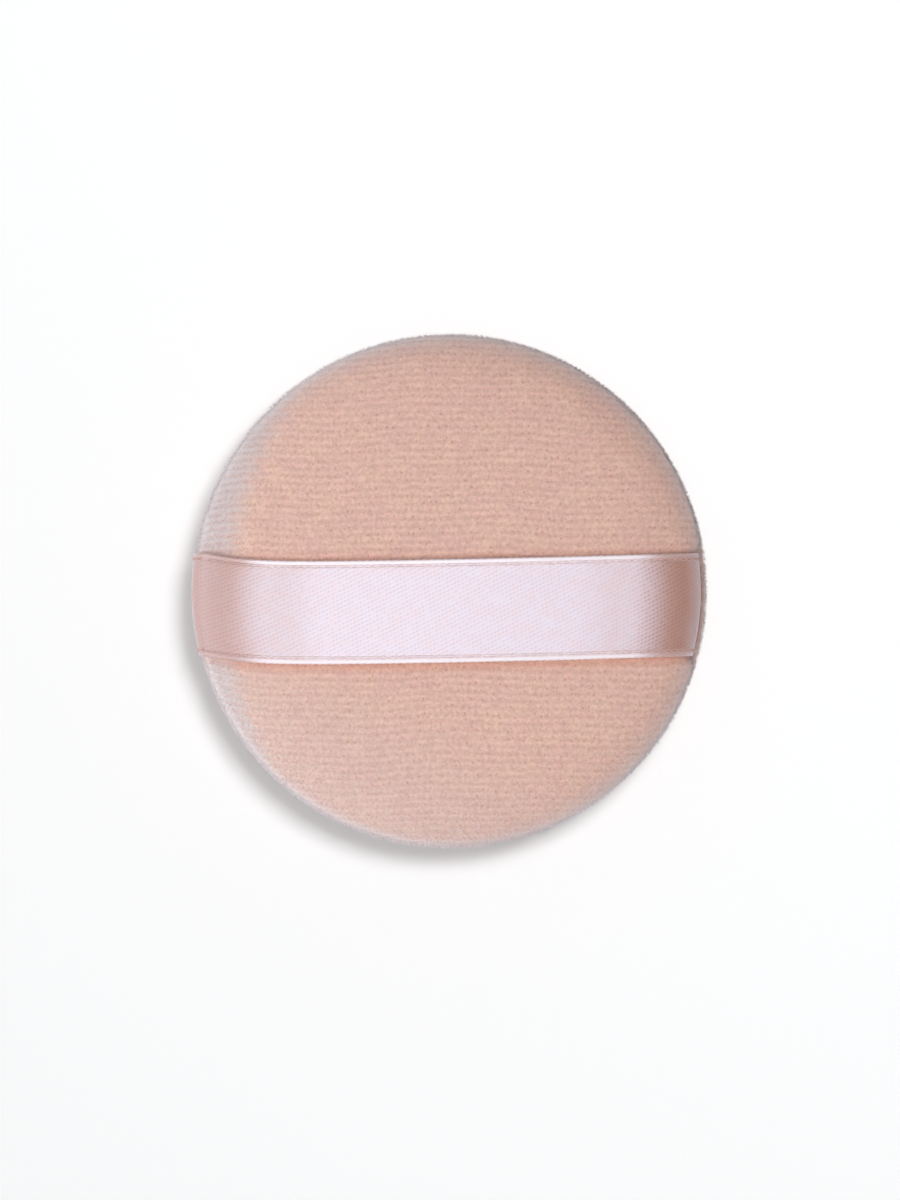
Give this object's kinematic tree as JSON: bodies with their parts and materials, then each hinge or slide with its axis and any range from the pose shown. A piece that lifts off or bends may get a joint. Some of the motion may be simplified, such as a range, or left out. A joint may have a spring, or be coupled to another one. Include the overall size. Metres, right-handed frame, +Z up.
{
  "type": "powder puff",
  "caption": "Round velour powder puff: sewn covers over a foam core, with a satin ribbon across the top caught in the rim seam as a finger loop.",
  "frame": {"origin": "middle of the flat underside that the puff rests on", "axes": "+Z up through the pad, +X along the ribbon, +Y across the ribbon towards the hand-closed part of the rim"},
  "size_m": [0.08, 0.08, 0.0168],
  "materials": {
    "velour": "short dense knitted pile with a pale sheen at the rim",
    "satin": "satin weave with woven edges, soft gloss",
    "foam": "open-cell soft foam, matte",
    "thread": "spun polyester sewing thread"
  },
  "bodies": {
    "pad": {"lower_cover": "velour", "foam_core": "foam", "rim_needle_thread": "thread", "rim_bobbin_thread": "thread", "closing_thread": "thread", "left_tack_thread": "thread", "right_tack_thread": "thread"},
    "crown": {"upper_cover": "velour"},
    "loop": {"ribbon": "satin"}
  },
  "joints": [
    {"name": "pad_squeeze", "type": "slide", "parent": "pad", "child": "crown", "axis": [0, 0, 1], "range_m": [-0.004, 0], "stiffness_N_per_m": 400, "deforming": ["upper_cover", "foam_core"]},
    {"name": "ribbon_lift", "type": "slide", "parent": "pad", "child": "loop", "axis": [0, 0, 1], "range_m": [-0.0012, 0.008], "stiffness_N_per_m": 8, "deforming": ["ribbon"]}
  ]
}
